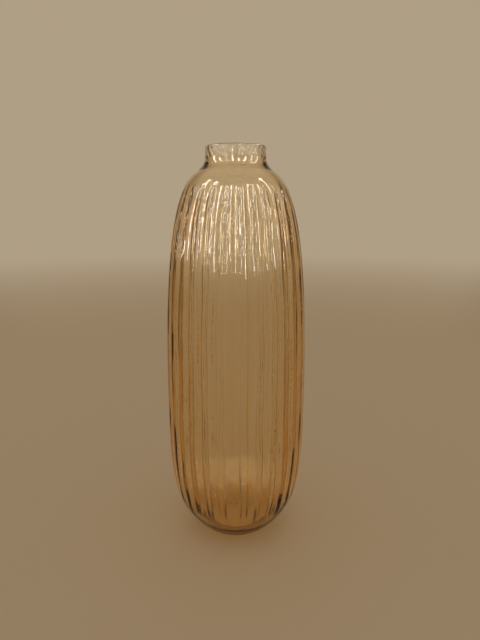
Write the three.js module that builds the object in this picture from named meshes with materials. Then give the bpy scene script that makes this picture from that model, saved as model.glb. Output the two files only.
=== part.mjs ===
// Hand blown glass vase: a tall amber bubble with soft vertical ribs, a short straight collar and a
// clear foot. Millimetres, +Z up, with the origin at the middle of the face that it rests on.
//
// The vase is three pieces of glass fused while hot. Each is a closed solid of its own, and a thin
// seam keeps neighbours apart.

import * as THREE from 'three';

// Driving dimensions
const HEIGHT = 400; // from the resting face to the top of the rim
const BODY_RADIUS = 72.2; // widest, over the ribs
const WIDEST_HEIGHT = 151; // where the body is widest
const HEEL_WALL = 4.4; // the blown wall thins from the heel up: here it is next to the foot,
const WIDEST_WALL = 3.2; // here at the widest height,
const SHOULDER_WALL = 2; // and here at the top of the shoulder
const COLLAR_RADIUS = 29.3; // outside of the straight collar
const COLLAR_WALL = 2.6;
const COLLAR_HEIGHT = 13;
const FOOT_RADIUS = 32.6; // edge of the resting face
const FOOT_TOP_RADIUS = 43.5; // where the foot meets the bubble outside
const FOOT_HEIGHT = 8; // clear glass at the foot's edge
const FOOT_CORE = 5.5; // and at its middle, where the bubble's rounded bottom dips into it
const BUBBLE_FLOOR = 2.5; // glass in the bottom of the bubble, above the foot
const SEAM = 0.3; // gap between neighbouring pieces

// Ribs: rounded lobes parted by narrow valleys, which are pressed into the outside of the wall
const RIB_COUNT = 29;
const RIB_DEPTH = 1.4; // of a valley at the widest height; it follows the wall's thickness
const RIB_LOW_END = 32; // height where a valley starts
const RIB_HIGH_END = 364; // height where it ends
const RIB_FADE = 10; // height over which it comes up to full depth

// Ground hollow in the middle of the foot, where the glassblower's rod was broken off
const HOLLOW_RADIUS = 18;
const HOLLOW_DEPTH = 1.2;

// Shoulder and collar: the shoulder ends in a small cove that turns up into the collar
const COVE_WIDTH = 9; // how far the cove's lower end stands out from the collar
const COVE_HEIGHT = 11; // how far it lies below the collar
const COLLAR_FLARE = 0.6; // how much wider the collar is at its lower edge

// Steepness of the curves: how far each one follows the straight line that it starts or ends on
const HEEL_START = at(24.9, 27.4); // along the heel, out and up
const HEEL_END = 97; // along the widest part
const FLOOR_ROUNDING = 0.08; // share of the heel's curve that the floor's rounded edge takes inside
const DISH_END = 26; // along the flat middle of the seam over the foot
const SHOULDER_START = 159; // along the widest part
const SHOULDER_END = at(20.2, -13.8); // along the shoulder, out and down

// Mesh fineness
const SEGMENTS_PER_RIB = 4;
const RING_SEGMENTS = 48; // around the collar and the foot
const HEEL_STEPS = 8;
const SHOULDER_STEPS = 10;
const INNER_STEPS = 5; // along each long curve inside, which has no ribs
const ROUNDING_STEPS = 3;
const DISH_STEPS = 3;
const RIM_STEPS = 6;

// Derived sizes
const COLLAR_BASE = HEIGHT - COLLAR_HEIGHT;
const COLLAR_BORE = COLLAR_RADIUS - COLLAR_WALL;
const BODY_TOP = COLLAR_BASE - SEAM;
const CAVITY_BOTTOM = FOOT_CORE + SEAM + BUBBLE_FLOOR;
const RIM_RADIUS = COLLAR_WALL / 2;

/** A point of an outline: distance from the axis, then height. */
function at(radius, height) {
  return new THREE.Vector2(radius, height);
}

/** Turns an outline round the upright axis. The outline runs with the glass on its left. */
function revolve(outline, segments) {
  const geometry = new THREE.LatheGeometry(outline, segments);
  geometry.rotateX(Math.PI / 2);
  return geometry;
}

/** The inside of a wall that thins along a curve: the curve's points moved inwards, from start on. */
function insideOf(curve, start, wallAtStart, wallAtEnd) {
  const points = [];
  for (let step = 0; step <= INNER_STEPS; step += 1) {
    const spot = THREE.MathUtils.lerp(start, 1, step / INNER_STEPS);
    const along = curve.getTangent(spot);
    const inward = at(-along.y, along.x);
    const wall = THREE.MathUtils.lerp(wallAtStart, wallAtEnd, spot);
    points.push(curve.getPoint(spot).addScaledVector(inward, wall));
  }
  return points;
}

/** The dished seam between the bubble and the foot, from the axis out, raised by lift. */
function dish(lift) {
  const curve = new THREE.QuadraticBezierCurve(
    at(0, FOOT_CORE + lift),
    at(DISH_END, FOOT_CORE + lift),
    at(FOOT_TOP_RADIUS, FOOT_HEIGHT + lift),
  );
  return curve.getPoints(DISH_STEPS);
}

/** The body's outline: up the outside, over the seam under the collar, and down the inside. */
function bodyOutline() {
  const underside = dish(SEAM);
  const footEdge = underside[DISH_STEPS];
  const widest = at(BODY_RADIUS, WIDEST_HEIGHT);
  const coveEnd = at(COLLAR_RADIUS + COVE_WIDTH, COLLAR_BASE - COVE_HEIGHT);
  const heel = new THREE.CubicBezierCurve(
    footEdge,
    footEdge.clone().add(HEEL_START),
    at(BODY_RADIUS, WIDEST_HEIGHT - HEEL_END),
    widest,
  );
  const shoulder = new THREE.CubicBezierCurve(
    widest,
    at(BODY_RADIUS, WIDEST_HEIGHT + SHOULDER_START),
    coveEnd.clone().add(SHOULDER_END),
    coveEnd,
  );
  const cove = new THREE.QuadraticBezierCurve(
    coveEnd,
    at(COLLAR_RADIUS + 2 * COLLAR_FLARE, COLLAR_BASE - COVE_HEIGHT / 2),
    at(COLLAR_RADIUS + COLLAR_FLARE, BODY_TOP),
  );
  const outside = [
    ...underside,
    ...heel.getPoints(HEEL_STEPS).slice(1),
    ...shoulder.getPoints(SHOULDER_STEPS).slice(1),
    ...cove.getPoints(ROUNDING_STEPS).slice(1),
  ];

  const innerShoulder = insideOf(shoulder, 0, WIDEST_WALL, SHOULDER_WALL).reverse();
  const innerCove = new THREE.QuadraticBezierCurve(
    at(COLLAR_BORE, BODY_TOP),
    at(COLLAR_BORE, COLLAR_BASE - COVE_HEIGHT / 2),
    innerShoulder[0],
  );
  const innerHeel = insideOf(heel, FLOOR_ROUNDING, HEEL_WALL, WIDEST_WALL).reverse();
  const floorEdge = innerHeel[INNER_STEPS];
  const floor = new THREE.QuadraticBezierCurve(
    floorEdge,
    at(floorEdge.x - (floorEdge.y - CAVITY_BOTTOM), CAVITY_BOTTOM),
    at(0, CAVITY_BOTTOM),
  );
  const inside = [
    ...innerCove.getPoints(ROUNDING_STEPS),
    ...innerShoulder.slice(1),
    ...innerHeel.slice(1),
    ...floor.getPoints(ROUNDING_STEPS).slice(1),
  ];
  return { points: [...outside, ...inside], outsideCount: outside.length };
}

/** How deep a valley is at a height: 0 past its ends, and in step with the wall along its length. */
function valleyDepth(height) {
  const low = THREE.MathUtils.smoothstep(height, RIB_LOW_END, RIB_LOW_END + RIB_FADE);
  const high = 1 - THREE.MathUtils.smoothstep(height, RIB_HIGH_END - RIB_FADE, RIB_HIGH_END);
  const above = Math.max(height - WIDEST_HEIGHT, 0) / (COLLAR_BASE - WIDEST_HEIGHT);
  const thinning = THREE.MathUtils.lerp(1, SHOULDER_WALL / WIDEST_WALL, above);
  return RIB_DEPTH * thinning * low * high;
}

/** Presses the valleys into a revolved body, whose outline starts with its outside. */
function pressRibs(geometry, pointCount, outsideCount) {
  const positions = geometry.getAttribute('position');
  const spot = new THREE.Vector3();
  for (let index = 0; index < positions.count; index += 1) {
    spot.fromBufferAttribute(positions, index);
    const deepest = valleyDepth(spot.z);
    if (index % pointCount < outsideCount && deepest > 0) {
      const turn = Math.atan2(spot.y, spot.x);
      const lobe = Math.abs(Math.sin((RIB_COUNT * turn) / 2));
      const depth = deepest * (1 - lobe);
      const radius = Math.hypot(spot.x, spot.y);
      const scale = (radius - depth) / radius;
      positions.setXY(index, spot.x * scale, spot.y * scale);
    }
  }
  geometry.computeVertexNormals();
}

/** The blown bubble: ribbed wall, smooth shoulder and closed bottom, open at the top. */
function ribbedBody() {
  const { points, outsideCount } = bodyOutline();
  const geometry = revolve(points, RIB_COUNT * SEGMENTS_PER_RIB);
  pressRibs(geometry, points.length, outsideCount);
  return geometry;
}

/** The straight collar, a ring with a fire-polished, fully rounded rim. */
function collar() {
  const rim = new THREE.Path().absarc(COLLAR_BORE + RIM_RADIUS, HEIGHT - RIM_RADIUS, RIM_RADIUS, 0, Math.PI);
  const lowerOuterEdge = at(COLLAR_RADIUS + COLLAR_FLARE, COLLAR_BASE);
  const flare = new THREE.QuadraticBezierCurve(
    lowerOuterEdge,
    at(COLLAR_RADIUS, COLLAR_BASE + COLLAR_HEIGHT / 8),
    at(COLLAR_RADIUS, COLLAR_BASE + COLLAR_HEIGHT / 3),
  );
  const lowerInnerEdge = at(COLLAR_BORE, COLLAR_BASE);
  const outline = [
    lowerInnerEdge,
    ...flare.getPoints(ROUNDING_STEPS),
    ...rim.getPoints(RIM_STEPS),
    lowerInnerEdge.clone(),
  ];
  return revolve(outline, RING_SEGMENTS);
}

/** The clear foot: a flat resting ring round a shallow ground hollow, and a side that curves out. */
function foot() {
  const hollow = new THREE.QuadraticBezierCurve(
    at(0, HOLLOW_DEPTH),
    at(HOLLOW_RADIUS / 2, HOLLOW_DEPTH),
    at(HOLLOW_RADIUS, 0),
  );
  const side = new THREE.QuadraticBezierCurve(
    at(FOOT_RADIUS, 0),
    at(FOOT_RADIUS + FOOT_HEIGHT / 2, FOOT_HEIGHT / 8),
    at(FOOT_TOP_RADIUS, FOOT_HEIGHT),
  );
  const outline = [
    ...hollow.getPoints(ROUNDING_STEPS),
    ...side.getPoints(ROUNDING_STEPS),
    ...dish(0).reverse().slice(1),
  ];
  return revolve(outline, RING_SEGMENTS);
}

/** A named piece of glass. */
function piece(name, geometry, color, roughness) {
  const material = new THREE.MeshStandardMaterial({
    color,
    roughness,
    metalness: 0,
    transparent: true,
    opacity: 0.4,
  });
  const mesh = new THREE.Mesh(geometry, material);
  mesh.name = name;
  return mesh;
}

const vase = new THREE.Group();
vase.name = 'vase';
vase.add(piece('ribbed_body', ribbedBody(), 0xb9854a, 0.05));
vase.add(piece('collar', collar(), 0xc9a77c, 0.04));
vase.add(piece('foot', foot(), 0xa89a84, 0.03));

export default vase;
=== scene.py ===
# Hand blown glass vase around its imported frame: the looks of the amber bubble, its collar and its
# clear foot. Blender 4.5, metres, +Z up, in the frame's own axes.
import math

import bmesh
import bpy
import numpy as np
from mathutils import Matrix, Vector


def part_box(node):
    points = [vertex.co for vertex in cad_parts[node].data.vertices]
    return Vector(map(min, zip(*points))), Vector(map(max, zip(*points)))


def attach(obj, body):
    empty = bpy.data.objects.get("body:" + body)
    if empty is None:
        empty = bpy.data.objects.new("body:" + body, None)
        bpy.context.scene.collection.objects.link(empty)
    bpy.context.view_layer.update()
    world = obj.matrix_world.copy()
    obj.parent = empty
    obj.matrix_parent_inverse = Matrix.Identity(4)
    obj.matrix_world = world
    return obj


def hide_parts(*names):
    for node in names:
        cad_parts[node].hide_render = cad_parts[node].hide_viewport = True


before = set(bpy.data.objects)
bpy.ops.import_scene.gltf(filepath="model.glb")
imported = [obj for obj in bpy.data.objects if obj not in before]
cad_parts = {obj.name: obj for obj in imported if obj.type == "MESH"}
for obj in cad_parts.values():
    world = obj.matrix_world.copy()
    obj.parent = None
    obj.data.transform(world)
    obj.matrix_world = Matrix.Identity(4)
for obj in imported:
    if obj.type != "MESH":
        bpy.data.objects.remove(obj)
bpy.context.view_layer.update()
BODY_LOW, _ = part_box("ribbed_body")
COLLAR_LOW, COLLAR_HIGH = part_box("collar")
_, FOOT_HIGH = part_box("foot")

MM = 0.001

# Sizes from the frame
HEIGHT = COLLAR_HIGH.z
BODY_RADIUS = -BODY_LOW.x  # a crest lies on the -X side, and a valley on the +X side
FOOT_HEIGHT = FOOT_HIGH.z
FOOT_TOP_RADIUS = FOOT_HIGH.x
COLLAR_BASE = COLLAR_LOW.z

# Sizes that the boxes don't give, as in the part
COLLAR_FLARE = 0.6 * MM
COLLAR_RADIUS = COLLAR_HIGH.x - COLLAR_FLARE
COLLAR_WALL = 2.6 * MM
COLLAR_BORE = COLLAR_RADIUS - COLLAR_WALL
HEEL_WALL = 4.4 * MM
WIDEST_WALL = 3.2 * MM
SHOULDER_WALL = 2 * MM
WIDEST_HEIGHT = 151 * MM
FOOT_RADIUS = 32.6 * MM
FOOT_CORE = 5.5 * MM
BUBBLE_FLOOR = 2.5 * MM
FLOOR_ROUNDING = 0.08
DISH_END = 26 * MM
HOLLOW_RADIUS = 18 * MM
HOLLOW_DEPTH = 1.2 * MM
COVE_WIDTH = 9 * MM
COVE_HEIGHT = 11 * MM
FLARE_HEIGHT = 2 * MM

# How far each long curve follows the straight line that it starts or ends on
HEEL_START = (24.9 * MM, 27.4 * MM)
HEEL_END = 97 * MM
SHOULDER_START = 159 * MM
SHOULDER_END = (20.2 * MM, -13.8 * MM)

SEAM = 0.02 * MM  # the visible pieces meet more closely than the solids do
BODY_TOP = COLLAR_BASE - SEAM

# Ribs: where the lines between and along them start and end, and how slowly they come up there
RIB_COUNT = 29
RIB_LOW_END = 32 * MM
RIB_HIGH_END = 364 * MM
RIB_LOW_FADE = 24 * MM
RIB_HIGH_FADE = 10 * MM
LINE_ROUNDING = 0.03  # 0 would leave a sharp crease along each rib line

# Depth at the widest height, power and unlikeness of each kind of rib line. The depth follows the
# wall's thickness. The higher the power, the narrower the line: 1 leaves plain round lobes.
RIB_DEPTH, VALLEY_POWER, VALLEY_UNLIKE = 1.4 * MM, 2, 0.15  # valleys outside, between the ribs
GROOVE_DEPTH, GROOVE_POWER, GROOVE_UNLIKE = 0.4 * MM, 7, 0.4  # grooves inside, behind the valleys
KEEL_HEIGHT, KEEL_POWER, KEEL_UNLIKE = 0.8 * MM, 7, 0.5  # ridges inside, behind the crests

# Mesh fineness: columns around, and steps along each outline
COLUMNS_PER_RIB = 20
COLUMN_CROWDING = 0.6  # how much closer the mesh's columns stand along valleys and crests
RING_SEGMENTS = 256
DISH_STEPS = 8
OUTER_HEEL_STEPS = 32
OUTER_SHOULDER_STEPS = 46
OUTER_COVE_STEPS = 8
INNER_COVE_STEPS = 6
INNER_SHOULDER_STEPS = 26
INNER_HEEL_STEPS = 24
FLOOR_STEPS = 9
COLLAR_STEPS = 16
BORE_STEPS = 12
COLLAR_SEAM_STEPS = 4
FOOT_STEPS = 14

# Hand-made unevenness, made of soft random waves. Each kind has an amount, and then how many waves
# it takes, their least and most turns around the vase, and their least and greatest length upwards.
SEED = 11
SWAY_ANGLE, SWAY_WAVES = math.radians(0.5), (6, (1, 7), (90 * MM, 260 * MM))
WOBBLE_ANGLE, WOBBLE_WAVES = math.radians(0.25), (8, (8, 22), (40 * MM, 120 * MM))
OUTER_DENTS, OUTER_WAVES = 0.12 * MM, (14, (2, 9), (50 * MM, 160 * MM))
INNER_RUNS, INNER_WAVES = 0.16 * MM, (16, (3, 16), (40 * MM, 200 * MM))
COLLAR_DENTS, COLLAR_WAVES = 0.2 * MM, (10, (8, 40), (6 * MM, 20 * MM))
LINE_WAVES = (8, (3, 20), (50 * MM, 200 * MM))  # how each rib line's strength changes
UNEVEN_LOW = (20 * MM, 65 * MM)  # the unevenness fades in over these heights
UNEVEN_HIGH = (352 * MM, 379 * MM)  # and out over these
COLLAR_UNEVEN = (1 * MM, 3 * MM)  # and the collar's fades in over these, above its base

# Glass: clearness is the share of red, green and blue left after GLASS_SAMPLE of it, and waviness
# is the depth of its fine hammered surface
GLASS_IOR = 1.5
SEAM_IOR = 1.01
GLASS_SAMPLE = 10 * MM
AMBER_CLEARNESS, AMBER_WAVINESS = (0.955, 0.69, 0.34), 0.055 * MM
PALE_CLEARNESS, PALE_WAVINESS = (0.96, 0.78, 0.52), 0.03 * MM
FOOT_CLEARNESS, FOOT_WAVINESS = (0.92, 0.93, 0.90), 0
DENSITY_MARGIN = 1.02  # keeps the absorption colour's darkest channel above 0
WAVE_LENGTH = 3.5 * MM  # around the vase, of the hammered surface
WAVE_STRETCH = 1.6  # how much longer its waves are along the vase
WAVE_DETAIL = 2
LIGHT_BOUNCES = 24
BRIGHTEST_BOUNCE = 8  # limits stray bright dots

# Camera: level with the shoulder, a little over one height away
CAMERA_DISTANCE = 1.2125 * HEIGHT
CAMERA_HEIGHT = 0.8515 * HEIGHT
CAMERA_TILT = math.radians(12.9)
CAMERA_TURN = math.radians(0.5)
CAMERA_LENS = 27
CAMERA_SENSOR = 36

# Studio: one plain floor and backdrop
BACKDROP_COLOUR = (0.43, 0.345, 0.235)
SHADE_COLOUR = (0.1, 0.06, 0.028)
STUDIO_COLOUR = (0.22, 0.175, 0.12)
OVERHEAD_COLOUR = (0.66, 0.53, 0.37)
FLOOR_COLOUR = (0.63, 0.56, 0.47)
FLOOR_REACH = 12
FLOOR_GAP = 0.05 * MM  # keeps the floor off the resting face
FLOOR_FADE = (0.7, 3.5)  # distances from the vase's axis where the floor fades into the studio
STUDIO_TONES = (  # each with how far a direction leans to +Y where the tone is reached
    (0.42, STUDIO_COLOUR),
    (0.56, SHADE_COLOUR),
    (0.7, SHADE_COLOUR),
    (0.87, BACKDROP_COLOUR),
)
OVERHEAD_EDGE = (0.45, 0.85)  # how far a direction leans to +Z where the overhead light fades in

# Lamps: columns of them in a half circle on the camera's side
LAMP_COLUMNS = 8
LAMPS_IN_COLUMN = 6
LAMP_LOWEST = math.radians(6)
LAMP_HIGHEST = math.radians(54)
LAMP_SPREAD = math.radians(180)
LAMP_DISTANCE = 3
LAMPS_AROUND = Vector((0, 0, 0.8 * HEIGHT))
LAMP_WIDTH = 0.13
LAMP_LENGTH = 0.36
LAMP_POWER = 5
WHITE_EVERY = 3  # one lamp in this many is white
WARM_LIGHT = (1, 0.88, 0.68)
WHITE_LIGHT = (1, 0.97, 0.92)


# Outlines -----------------------------------------------------------------------------------------


def bezier(points, steps):
    """Rows of radius and height along a Bezier curve of three or four points."""
    t = np.linspace(0, 1, steps + 1)[:, None]
    degree = len(points) - 1
    weights = [math.comb(degree, k) * t**k * (1 - t) ** (degree - k) for k in range(degree + 1)]
    return sum(weight * np.array(point) for weight, point in zip(weights, points))


def outward(outline):
    """The unit normal at each row of an outline that has the glass on its left."""
    along = np.gradient(outline, axis=0)
    normal = np.stack([along[:, 1], -along[:, 0]], axis=1)
    return normal / np.linalg.norm(normal, axis=1)[:, None]


def dish(lift, steps):
    """The dished seam between the bubble and the foot, from the axis out, raised by lift."""
    middle = FOOT_CORE + lift
    return bezier([(0, middle), (DISH_END, middle), (FOOT_TOP_RADIUS, FOOT_HEIGHT + lift)], steps)


def heel_curve(steps):
    """Outside of the body, from the foot's seam out to the widest point."""
    start = (FOOT_TOP_RADIUS, FOOT_HEIGHT + SEAM)
    return bezier(
        [
            start,
            (start[0] + HEEL_START[0], start[1] + HEEL_START[1]),
            (BODY_RADIUS, WIDEST_HEIGHT - HEEL_END),
            (BODY_RADIUS, WIDEST_HEIGHT),
        ],
        steps,
    )


def shoulder_curve(steps):
    """Outside of the body, from the widest point up to the cove."""
    end = (COLLAR_RADIUS + COVE_WIDTH, COLLAR_BASE - COVE_HEIGHT)
    return bezier(
        [
            (BODY_RADIUS, WIDEST_HEIGHT),
            (BODY_RADIUS, WIDEST_HEIGHT + SHOULDER_START),
            (end[0] + SHOULDER_END[0], end[1] + SHOULDER_END[1]),
            end,
        ],
        steps,
    )


def cove_curve(steps):
    """Outside of the body, from the shoulder up into the collar."""
    return bezier(
        [
            (COLLAR_RADIUS + COVE_WIDTH, COLLAR_BASE - COVE_HEIGHT),
            (COLLAR_RADIUS + 2 * COLLAR_FLARE, COLLAR_BASE - COVE_HEIGHT / 2),
            (COLLAR_RADIUS + COLLAR_FLARE, BODY_TOP),
        ],
        steps,
    )


def inside_of(curve, wall_at_start, wall_at_end):
    """The inside of a wall that thins along a curve."""
    wall = np.linspace(wall_at_start, wall_at_end, len(curve))[:, None]
    return curve - outward(curve) * wall


def inside_of_body():
    """From the seam under the collar down to the middle of the bubble's floor."""
    shoulder = inside_of(shoulder_curve(INNER_SHOULDER_STEPS), WIDEST_WALL, SHOULDER_WALL)[::-1]
    turning = (COLLAR_BORE, COLLAR_BASE - COVE_HEIGHT / 2)
    cove = bezier([(COLLAR_BORE, BODY_TOP), turning, shoulder[0]], INNER_COVE_STEPS)
    heel = inside_of(heel_curve(INNER_HEEL_STEPS), HEEL_WALL, WIDEST_WALL)
    heel = heel[round(FLOOR_ROUNDING * len(heel)) :][::-1]
    edge = heel[-1]
    bottom = FOOT_CORE + SEAM + BUBBLE_FLOOR
    floor = bezier([edge, (edge[0] - (edge[1] - bottom), bottom), (0, bottom)], FLOOR_STEPS)
    return np.concatenate([cove, shoulder[1:], heel[1:], floor[1:-1]])


# Hand-made unevenness -----------------------------------------------------------------------------


def smoothstep(value, low, high):
    """0 below low, 1 above high, and a smooth rise between them."""
    t = np.clip((value - low) / (high - low), 0, 1)
    return t * t * (3 - 2 * t)


def uneven_share(height):
    """1 along the ribbed wall, and 0 near the heel and the collar."""
    return smoothstep(height, *UNEVEN_LOW) * (1 - smoothstep(height, *UNEVEN_HIGH))


def ripples(rng, count, turns, length):
    """A function of angle and height: a sum of soft waves, periodic around the vase, about -1 to 1."""
    waves = []
    for _ in range(count):
        around = rng.integers(turns[0], turns[1] + 1)
        along = 2 * math.pi / rng.uniform(*length)
        waves.append((around, along, rng.uniform(0, 2 * math.pi, 2)))

    def value(angle, height):
        total = sum(
            np.cos(around * angle + phase[0]) * np.cos(along * height + phase[1])
            for around, along, phase in waves
        )
        return total / math.sqrt(count / 2)

    return value


def rib_columns():
    """A row of the angles of the body's columns, crowded along the valleys and the crests."""
    step = np.arange(COLUMNS_PER_RIB) / COLUMNS_PER_RIB
    crowded = step - COLUMN_CROWDING * np.sin(4 * math.pi * step) / (4 * math.pi)
    ribs = np.arange(RIB_COUNT)[:, None] + crowded
    return ribs.reshape(1, -1) * 2 * math.pi / RIB_COUNT


def ring_columns():
    """A row of the even angles of the columns of the collar and the foot."""
    return np.linspace(0, 2 * math.pi, RING_SEGMENTS, endpoint=False)[None, :]


def rib_lines(rng, offset, power, unlike):
    """A function of angle and height: 0 between upright lines, about 1 in the middle of each one.

    The lines lie offset ribs from the valleys, and differ from one another by up to unlike.
    """
    strength = ripples(rng, *LINE_WAVES)
    own = np.repeat(rng.uniform(1 - unlike, 1 + unlike, RIB_COUNT), COLUMNS_PER_RIB)
    own = np.roll(own, round((offset - 0.5) * COLUMNS_PER_RIB))

    def value(angle, height):
        wave = np.sin(RIB_COUNT * angle / 2 - math.pi * offset)
        rounding = LINE_ROUNDING
        lobe = (np.sqrt(wave**2 + rounding**2) - rounding) / (math.sqrt(1 + rounding**2) - rounding)
        low = smoothstep(height, RIB_LOW_END, RIB_LOW_END + RIB_LOW_FADE)
        high = 1 - smoothstep(height, RIB_HIGH_END - RIB_HIGH_FADE, RIB_HIGH_END)
        above = np.maximum(height - WIDEST_HEIGHT, 0) / (COLLAR_BASE - WIDEST_HEIGHT)
        thinning = 1 + above * (SHOULDER_WALL / WIDEST_WALL - 1)
        changing = np.maximum(1 + unlike * strength(angle, height) / 2, 0)
        return own * changing * thinning * low * high * (1 - lobe) ** power

    return value


# Meshes -------------------------------------------------------------------------------------------


def round_mesh(name, angle, radius, height, closed, seam_rings):
    """A mesh of rings: each grid holds a row for each ring and a column for each segment.

    A closed outline joins its last ring to its first. An open one starts and ends on the axis. The
    faces that start at one of seam_rings lie against a neighbouring piece.
    """
    rings, around = radius.shape
    points = np.stack([radius * np.cos(angle), radius * np.sin(angle), height], axis=2)
    vertices = points.reshape(-1, 3).tolist()
    faces = []
    seam = []
    joined = rings if closed else rings - 1
    for ring in range(joined):
        here = ring * around
        above = (ring + 1) % rings * around
        for step in range(around):
            after = (step + 1) % around
            faces.append((here + step, here + after, above + after, above + step))
            seam.append(ring in seam_rings)
    if not closed:
        for ring, flip in ((0, True), (rings - 1, False)):
            hub = len(vertices)
            vertices.append((0, 0, float(height[ring].mean())))
            for step in range(around):
                edge = (ring * around + step, ring * around + (step + 1) % around)
                faces.append((hub, edge[1], edge[0]) if flip else (hub, edge[0], edge[1]))
                seam.append(ring in seam_rings)
    mesh = bpy.data.meshes.new(name)
    mesh.from_pydata(vertices, [], faces)
    mesh.shade_smooth()
    marks = mesh.attributes.new("seam", "FLOAT", "FACE")
    marks.data.foreach_set("value", np.array(seam, dtype=np.float32))
    sharpen_seam(mesh)
    piece = bpy.data.objects.new(name, mesh)
    bpy.context.scene.collection.objects.link(piece)
    return piece


def sharpen_seam(mesh):
    """Marks the edges between a seam and the rest of the piece as sharp."""
    fine = bmesh.new()
    fine.from_mesh(mesh)
    seam = fine.faces.layers.float["seam"]
    for edge in fine.edges:
        one, other = edge.link_faces
        if one[seam] != other[seam]:
            edge.smooth = False
    fine.to_mesh(mesh)
    fine.free()


def displaced(outline, angle, pressed):
    """The grids of an outline whose points are moved into the glass by pressed."""
    ones = np.ones_like(angle)
    normal = outward(outline)
    radius = outline[:, :1] * ones - pressed * normal[:, :1]
    height = outline[:, 1:] * ones - pressed * normal[:, 1:]
    return radius, height


def make_body(rng):
    """The blown bubble, its ribs pressed from outside, with finer lines behind them inside."""
    columns = rib_columns()

    under = dish(SEAM, DISH_STEPS)[1:-1]
    under_radius, under_height = displaced(under, columns, 0)

    heel = heel_curve(OUTER_HEEL_STEPS)
    shoulder = shoulder_curve(OUTER_SHOULDER_STEPS)
    cove = cove_curve(OUTER_COVE_STEPS)
    outer = np.concatenate([heel, shoulder[1:], cove[1:]])
    height = outer[:, 1:]
    sway = ripples(rng, *SWAY_WAVES)
    wobble = ripples(rng, *WOBBLE_WAVES)
    outer_lean = SWAY_ANGLE * sway(columns, height) + WOBBLE_ANGLE * wobble(columns, height)
    dents = ripples(rng, *OUTER_WAVES)
    uneven = OUTER_DENTS * np.maximum(dents(columns, height), 0) * uneven_share(height)
    valleys = rib_lines(rng, 0, VALLEY_POWER, VALLEY_UNLIKE)
    pressed = RIB_DEPTH * valleys(columns, height) + uneven
    outer_radius, outer_height = displaced(outer, columns, pressed)

    inner = inside_of_body()
    height = inner[:, 1:]
    runs = ripples(rng, *INNER_WAVES)
    uneven = INNER_RUNS * runs(columns, height) * uneven_share(height)
    inner_lean = SWAY_ANGLE * sway(columns, height) + WOBBLE_ANGLE * wobble(columns, height)
    grooves = rib_lines(rng, 0, GROOVE_POWER, GROOVE_UNLIKE)
    keels = rib_lines(rng, 0.5, KEEL_POWER, KEEL_UNLIKE)
    fine = GROOVE_DEPTH * grooves(columns, height) - KEEL_HEIGHT * keels(columns, height)
    inner_radius, inner_height = displaced(inner, columns, uneven + fine)

    last_outer_ring = len(under) + len(outer) - 1
    return round_mesh(
        "amber_bubble",
        columns + np.concatenate([0 * under_radius, outer_lean, inner_lean]),
        np.concatenate([under_radius, outer_radius, inner_radius]),
        np.concatenate([under_height, outer_height, inner_height]),
        closed=False,
        seam_rings={*range(len(under)), last_outer_ring},
    )


def make_collar(rng):
    """The straight collar with its fully rounded, fire-polished rim."""
    rim = COLLAR_WALL / 2
    side = bezier(
        [
            (COLLAR_RADIUS + COLLAR_FLARE, COLLAR_BASE),
            (COLLAR_RADIUS, COLLAR_BASE + FLARE_HEIGHT),
            (COLLAR_RADIUS, HEIGHT - rim),
        ],
        COLLAR_STEPS,
    )
    turn = np.linspace(0, math.pi, COLLAR_STEPS + 1)[:, None]
    top = np.hstack([COLLAR_BORE + rim + rim * np.cos(turn), HEIGHT - rim + rim * np.sin(turn)])
    inner = np.linspace((COLLAR_BORE, HEIGHT - rim), (COLLAR_BORE, COLLAR_BASE), BORE_STEPS + 1)
    under = np.linspace(inner[-1], side[0], COLLAR_SEAM_STEPS + 1)
    outline = np.concatenate([side, top[1:], inner[1:], under[1:-1]])
    angle = ring_columns()
    dents = ripples(rng, *COLLAR_WAVES)
    height = outline[:, 1:]
    pressed = COLLAR_DENTS * np.maximum(1 + dents(angle, height), 0)
    pressed = pressed * smoothstep(height - COLLAR_BASE, *COLLAR_UNEVEN)
    radius, height = displaced(outline, angle, pressed)
    seam_rings = set(range(len(outline) - len(under) + 1, len(outline)))
    return round_mesh("collar_ring", angle, radius, height, closed=True, seam_rings=seam_rings)


def make_foot():
    """The clear foot: a resting ring round a shallow ground hollow, under the bubble."""
    hollow = bezier(
        [
            (0, HOLLOW_DEPTH),
            (HOLLOW_RADIUS / 2, HOLLOW_DEPTH),
            (HOLLOW_RADIUS, 0),
        ],
        FOOT_STEPS,
    )
    side = bezier(
        [
            (FOOT_RADIUS, 0),
            (FOOT_RADIUS + FOOT_HEIGHT / 2, FOOT_HEIGHT / 8),
            (FOOT_TOP_RADIUS, FOOT_HEIGHT),
        ],
        FOOT_STEPS,
    )
    top = dish(0, FOOT_STEPS)[::-1]
    outline = np.concatenate([hollow[1:], side, top[1:-1]])
    angle = ring_columns()
    radius, height = displaced(outline, angle, 0)
    seam_rings = set(range(len(outline) - len(top) + 1, len(outline)))
    return round_mesh("foot_pad", angle, radius, height, closed=False, seam_rings=seam_rings)


# Materials ----------------------------------------------------------------------------------------


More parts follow.
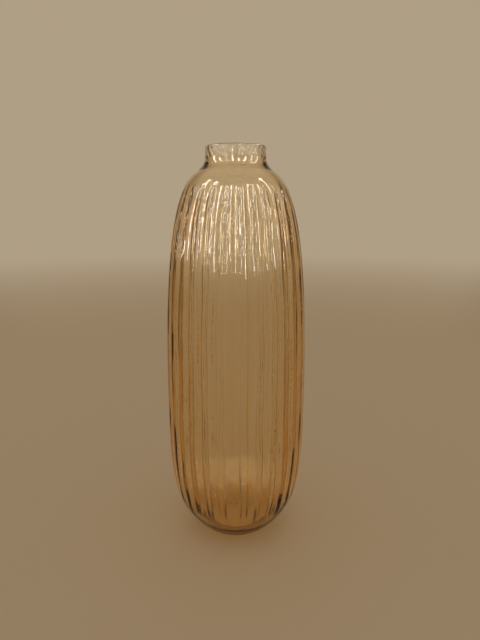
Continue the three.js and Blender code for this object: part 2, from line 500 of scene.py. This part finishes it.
def glass(name, clearness, waviness):
    """Blown glass. The seams barely bend light, so that the pieces look fused, as they are."""
    material = bpy.data.materials.new(name)
    material.use_nodes = True
    nodes = material.node_tree.nodes
    links = material.node_tree.links
    shader = nodes["Principled BSDF"]
    shader.inputs["Base Color"].default_value = (1, 1, 1, 1)
    shader.inputs["Transmission Weight"].default_value = 1
    shader.inputs["Roughness"].default_value = 0
    shader.inputs["IOR"].default_value = GLASS_IOR  # for anything that reads this socket instead of following the link below

    seam = nodes.new("ShaderNodeAttribute")
    seam.attribute_name = "seam"
    bending = nodes.new("ShaderNodeMapRange")
    bending.inputs["To Min"].default_value = GLASS_IOR
    bending.inputs["To Max"].default_value = SEAM_IOR
    links.new(seam.outputs["Fac"], bending.inputs["Value"])
    links.new(bending.outputs["Result"], shader.inputs["IOR"])

    loss = [-math.log(share) / GLASS_SAMPLE for share in clearness]
    density = max(loss) * DENSITY_MARGIN
    absorb = nodes.new("ShaderNodeVolumeAbsorption")
    absorb.inputs["Density"].default_value = density
    absorb.inputs["Color"].default_value = (*(1 - one / density for one in loss), 1)
    links.new(absorb.outputs["Volume"], nodes["Material Output"].inputs["Volume"])

    if waviness:
        place = nodes.new("ShaderNodeTexCoord")
        stretch = nodes.new("ShaderNodeVectorMath")
        stretch.operation = "MULTIPLY"
        stretch.inputs[1].default_value = (1, 1, 1 / WAVE_STRETCH)
        noise = nodes.new("ShaderNodeTexNoise")
        noise.inputs["Scale"].default_value = 1 / WAVE_LENGTH
        noise.inputs["Detail"].default_value = WAVE_DETAIL
        bump = nodes.new("ShaderNodeBump")
        bump.inputs["Strength"].default_value = 1
        bump.inputs["Distance"].default_value = waviness
        links.new(place.outputs["Object"], stretch.inputs[0])
        links.new(stretch.outputs["Vector"], noise.inputs["Vector"])
        links.new(noise.outputs["Fac"], bump.inputs["Height"])
        links.new(bump.outputs["Normal"], shader.inputs["Normal"])
    return material


# Stage --------------------------------------------------------------------------------------------


def map_range(nodes, links, value, source, target):
    """A node that takes value smoothly from one pair of limits to another. Returns its output."""
    node = nodes.new("ShaderNodeMapRange")
    node.interpolation_type = "SMOOTHSTEP"
    for name, limit in zip(("From Min", "From Max", "To Min", "To Max"), (*source, *target)):
        node.inputs[name].default_value = limit
    links.new(value, node.inputs["Value"])
    return node.outputs["Result"]


def backdrop_colour(nodes, links, direction):
    """The studio's colour in a direction, pale behind the vase with a brown shade on either side.

    Returns the colour's output, and the output that says how far the direction leans to +Z.
    """
    unit = nodes.new("ShaderNodeVectorMath")
    unit.operation = "NORMALIZE"
    parts = nodes.new("ShaderNodeSeparateXYZ")
    ramp = nodes.new("ShaderNodeValToRGB")
    ramp.color_ramp.interpolation = "EASE"
    tones = ramp.color_ramp.elements
    while len(tones) < len(STUDIO_TONES):
        tones.new(1)
    for tone, (lean, colour) in zip(tones, STUDIO_TONES):
        tone.position = lean
        tone.color = (*colour, 1)
    links.new(direction, unit.inputs[0])
    links.new(unit.outputs["Vector"], parts.inputs["Vector"])
    links.new(parts.outputs["Y"], ramp.inputs["Fac"])
    return ramp.outputs["Color"], parts.outputs["Z"]


def make_floor():
    """A plain pale floor that fades, away from the vase, into a glow of the studio's colours: painted
    light and shade.
    """
    mesh = bpy.data.meshes.new("floor")
    far = FLOOR_REACH
    corners = [(-far, -far, 0), (far, -far, 0), (far, far, 0), (-far, far, 0)]
    mesh.from_pydata(corners, [], [(0, 1, 2, 3)])
    floor = bpy.data.objects.new("floor", mesh)
    bpy.context.scene.collection.objects.link(floor)
    floor.location.z = -FLOOR_GAP
    material = bpy.data.materials.new("plain_floor")
    material.use_nodes = True
    nodes = material.node_tree.nodes
    links = material.node_tree.links
    shader = nodes["Principled BSDF"]
    shader.inputs["Base Color"].default_value = (*FLOOR_COLOUR, 1)
    shader.inputs["Specular IOR Level"].default_value = 0

    place = nodes.new("ShaderNodeTexCoord").outputs["Object"]
    # The far floor's glow: painted backdrop light, with painted brown shade on either side
    backdrop = nodes.new("ShaderNodeEmission")
    colour, _ = backdrop_colour(nodes, links, place)
    links.new(colour, backdrop.inputs["Color"])
    length = nodes.new("ShaderNodeVectorMath")
    length.operation = "LENGTH"
    links.new(place, length.inputs[0])
    mix = nodes.new("ShaderNodeMixShader")
    links.new(map_range(nodes, links, length.outputs["Value"], FLOOR_FADE, (0, 1)), mix.inputs["Fac"])
    links.new(shader.outputs["BSDF"], mix.inputs[1])
    links.new(backdrop.outputs["Emission"], mix.inputs[2])
    links.new(mix.outputs["Shader"], nodes["Material Output"].inputs["Surface"])
    mesh.materials.append(material)


def make_world():
    """The studio all around: a pale backdrop, brown shades beside it, and soft light overhead."""
    world = bpy.data.worlds.new("studio")
    bpy.context.scene.world = world
    world.use_nodes = True
    nodes = world.node_tree.nodes
    links = world.node_tree.links
    background = nodes["Background"]
    place = nodes.new("ShaderNodeTexCoord").outputs["Generated"]
    colour, upwards = backdrop_colour(nodes, links, place)
    mix = nodes.new("ShaderNodeMixRGB")
    mix.inputs["Color2"].default_value = (*OVERHEAD_COLOUR, 1)
    links.new(map_range(nodes, links, upwards, OVERHEAD_EDGE, (0, 1)), mix.inputs["Fac"])
    links.new(colour, mix.inputs["Color1"])
    links.new(mix.outputs["Color"], background.inputs["Color"])


def show_in_reflections(light):
    """Lets a lamp show only in reflections, also ones seen through glass, and never on the floor."""
    light.use_nodes = True
    nodes = light.node_tree.nodes
    links = light.node_tree.links
    path = nodes.new("ShaderNodeLightPath")
    off_floor = nodes.new("ShaderNodeMath")
    off_floor.operation = "SUBTRACT"
    off_floor.use_clamp = True
    off_floor.inputs[0].default_value = 1
    reflected = nodes.new("ShaderNodeMath")
    reflected.operation = "MULTIPLY"
    reflected.use_clamp = True
    links.new(path.outputs["Diffuse Depth"], off_floor.inputs[1])
    links.new(off_floor.outputs["Value"], reflected.inputs[0])
    links.new(path.outputs["Glossy Depth"], reflected.inputs[1])
    links.new(reflected.outputs["Value"], nodes["Emission"].inputs["Strength"])


def add_lamp(name, turn, rise, colour):
    """A slim upright lamp, facing the vase from turn around it and rise above level."""
    level = math.cos(rise)
    direction = Vector((math.sin(turn) * level, -math.cos(turn) * level, math.sin(rise)))
    light = bpy.data.lights.new(name, "AREA")
    light.shape = "RECTANGLE"
    light.size = LAMP_WIDTH
    light.size_y = LAMP_LENGTH
    light.energy = LAMP_POWER
    light.color = colour
    show_in_reflections(light)
    lamp = bpy.data.objects.new(name, light)
    lamp.location = LAMP_DISTANCE * direction + LAMPS_AROUND
    lamp.rotation_mode = "QUATERNION"
    lamp.rotation_quaternion = (-direction).to_track_quat("-Z", "Y")
    lamp.visible_camera = False
    lamp.visible_diffuse = False
    bpy.context.scene.collection.objects.link(lamp)


def add_lamps():
    """Columns of lamps on the camera's side, whose reflections sparkle on the ribs."""
    for column in range(LAMP_COLUMNS):
        turn = LAMP_SPREAD * (column / (LAMP_COLUMNS - 1) - 0.5)
        for place in range(LAMPS_IN_COLUMN):
            share = (place + 0.5 * (column % 2)) / (LAMPS_IN_COLUMN - 0.5)
            rise = LAMP_LOWEST + (LAMP_HIGHEST - LAMP_LOWEST) * share
            colour = WARM_LIGHT if (column + place) % WHITE_EVERY else WHITE_LIGHT
            add_lamp(f"lamp_{column}_{place}", turn, rise, colour)


def make_camera():
    """In front of the vase, tilted down to its middle and turned a little to the right."""
    data = bpy.data.cameras.new("camera")
    data.lens = CAMERA_LENS
    data.sensor_width = CAMERA_SENSOR
    camera = bpy.data.objects.new("camera", data)
    camera.location = (0, -CAMERA_DISTANCE, CAMERA_HEIGHT)
    camera.rotation_euler = (math.pi / 2 - CAMERA_TILT, 0, -CAMERA_TURN)
    bpy.context.scene.collection.objects.link(camera)
    bpy.context.scene.camera = camera


make_camera()
make_floor()
make_world()
add_lamps()

rng = np.random.default_rng(SEED)
for piece, node, slot, clearness, waviness in (
    (make_body(rng), "ribbed_body", "amber_glass", AMBER_CLEARNESS, AMBER_WAVINESS),
    (make_collar(rng), "collar", "pale_amber_glass", PALE_CLEARNESS, PALE_WAVINESS),
    (make_foot(), "foot", "clear_glass", FOOT_CLEARNESS, FOOT_WAVINESS),
):
    piece.data.materials.append(glass(slot, clearness, waviness))
    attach(piece, "root")
    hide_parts(node)

scene = bpy.context.scene
scene.view_settings.view_transform = "Standard"
scene.cycles.max_bounces = LIGHT_BOUNCES
scene.cycles.transmission_bounces = LIGHT_BOUNCES
scene.cycles.sample_clamp_indirect = BRIGHTEST_BOUNCE
scene.cycles.blur_glossy = 0
scene.cycles.use_denoising = True
